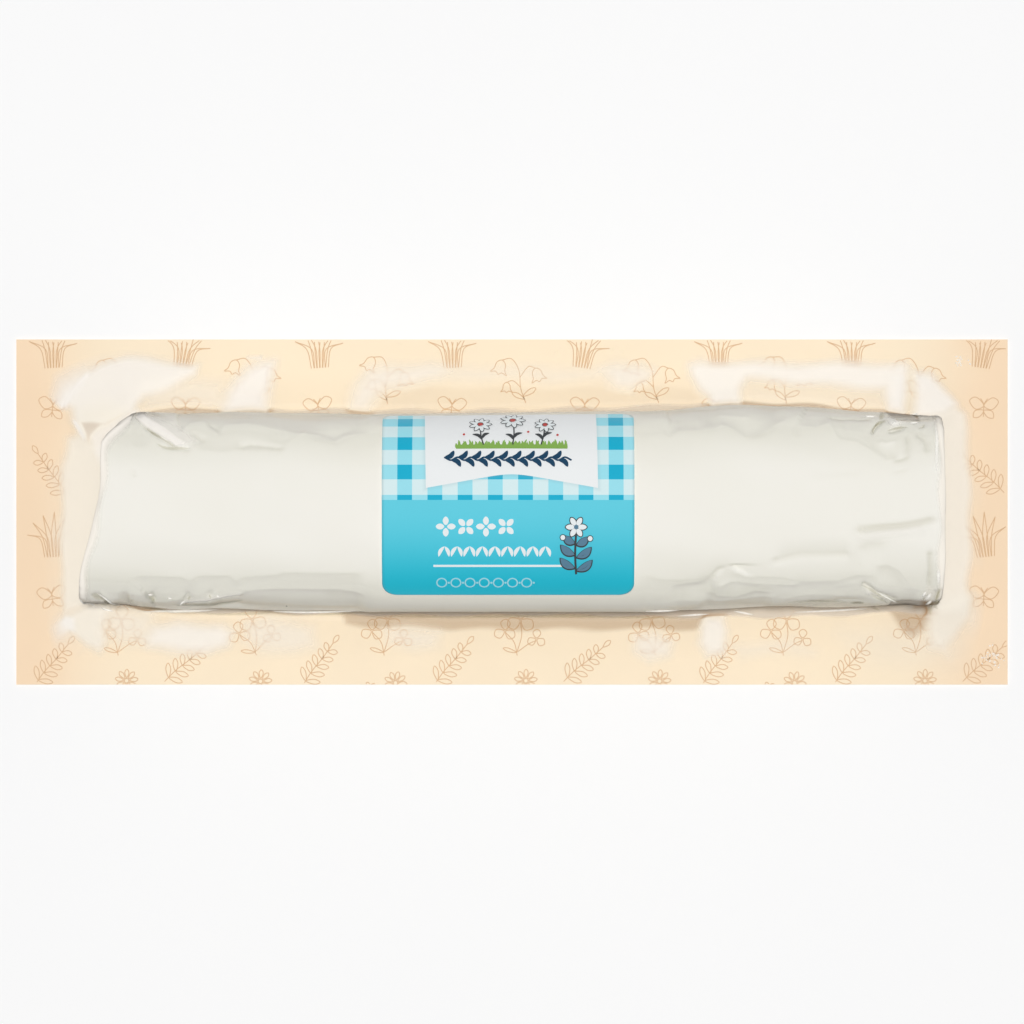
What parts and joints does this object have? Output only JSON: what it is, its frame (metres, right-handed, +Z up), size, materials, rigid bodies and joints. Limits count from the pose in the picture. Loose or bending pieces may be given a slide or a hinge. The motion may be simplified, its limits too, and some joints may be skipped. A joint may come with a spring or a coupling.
{
  "type": "vacuum-packed fresh goat cheese log",
  "caption": "Vacuum-packed log of fresh goat cheese on a printed base sheet, under clear film, with a bent label. Rests flat on its sheet.",
  "frame": {"origin": "middle of the base sheet's underside", "axes": "+X along the log, towards the right end as the label is read; +Y towards the label's top edge; +Z up, out of the sheet"},
  "size_m": [0.1982, 0.069, 0.0369],
  "materials": {
    "printed_sheet": "satin printed film sheet",
    "cheese": "moist fresh cheese, soft and off-white",
    "film": "clear glossy packaging film",
    "label_paper": "satin printed label"
  },
  "bodies": {
    "root": {"backing_sheet": "printed_sheet", "cheese_log": "cheese", "clear_film": "film", "label": "label_paper"}
  },
  "joints": []
}
